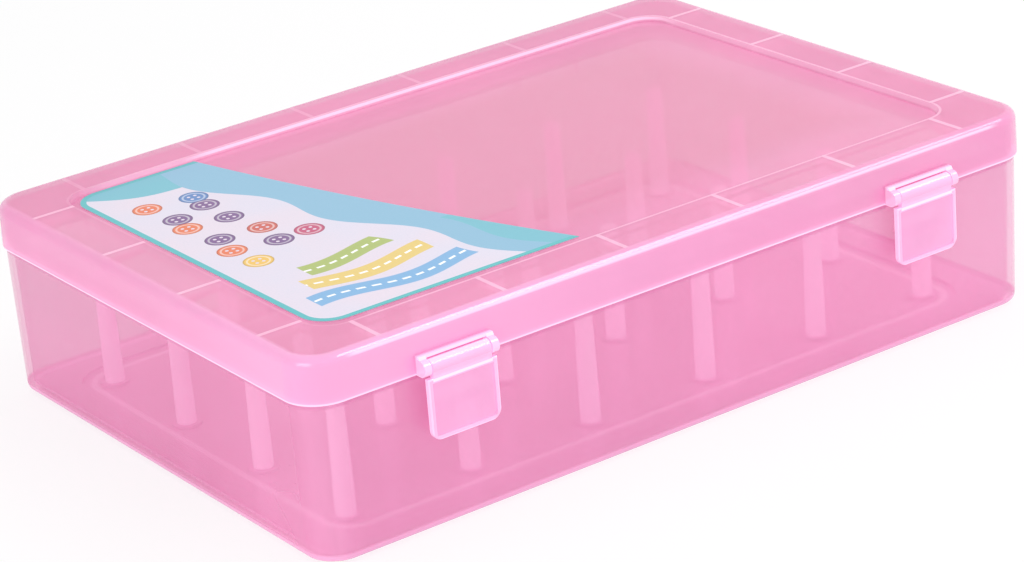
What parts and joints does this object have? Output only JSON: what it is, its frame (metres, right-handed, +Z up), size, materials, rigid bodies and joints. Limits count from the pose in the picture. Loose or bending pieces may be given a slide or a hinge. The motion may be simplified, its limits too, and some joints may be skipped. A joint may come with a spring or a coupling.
{
  "type": "embroidery thread box",
  "caption": "Shallow see-through plastic thread case with a grid of upright spool posts, a hinged lid with a sunk panel, and snap latches on its front.",
  "frame": {"origin": "on the table, under the middle of the case", "axes": "+X along the case's length, to the right seen from the latches; +Y to the back, where the hinges are; +Z up"},
  "size_m": [0.25, 0.1802, 0.0595],
  "materials": {
    "tray_plastic": "clear pink polypropylene, moulded, semi-gloss",
    "lid_plastic": "clear pink polypropylene, moulded, semi-gloss",
    "latch_plastic": "clear pink polypropylene, moulded, semi-gloss",
    "post_plastic": "clear pink polypropylene, moulded, semi-gloss",
    "label_film": "printed film, satin"
  },
  "bodies": {
    "base": {"tray": "tray_plastic", "spool_post_1_1": "post_plastic", "spool_post_1_2": "post_plastic", "spool_post_1_3": "post_plastic", "spool_post_1_4": "post_plastic", "spool_post_1_5": "post_plastic", "spool_post_1_6": "post_plastic", "spool_post_2_1": "post_plastic", "spool_post_2_2": "post_plastic", "spool_post_2_3": "post_plastic", "spool_post_2_4": "post_plastic", "spool_post_2_5": "post_plastic", "spool_post_2_6": "post_plastic", "spool_post_3_1": "post_plastic", "spool_post_3_2": "post_plastic", "spool_post_3_3": "post_plastic", "spool_post_3_4": "post_plastic", "spool_post_3_5": "post_plastic", "spool_post_3_6": "post_plastic", "spool_post_4_1": "post_plastic", "spool_post_4_2": "post_plastic", "spool_post_4_3": "post_plastic", "spool_post_4_4": "post_plastic", "spool_post_4_5": "post_plastic", "spool_post_4_6": "post_plastic"},
    "lid": {"lid": "lid_plastic", "label_sticker": "label_film"},
    "latch_left": {"latch_left": "latch_plastic"},
    "latch_right": {"latch_right": "latch_plastic"}
  },
  "joints": [
    {"name": "lid_hinge", "type": "hinge", "parent": "base", "child": "lid", "pos_m": [0, 0.0877, 0.0468], "axis": [-1, 0, 0], "range_deg": [0, 180]},
    {"name": "latch_left_hinge", "type": "hinge", "parent": "lid", "child": "latch_left", "pos_m": [-0.08, -0.08795, 0.0487], "axis": [-1, 0, 0], "range_deg": [0, 135]},
    {"name": "latch_right_hinge", "type": "hinge", "parent": "lid", "child": "latch_right", "pos_m": [0.08, -0.08795, 0.0487], "axis": [-1, 0, 0], "range_deg": [0, 135]}
  ]
}
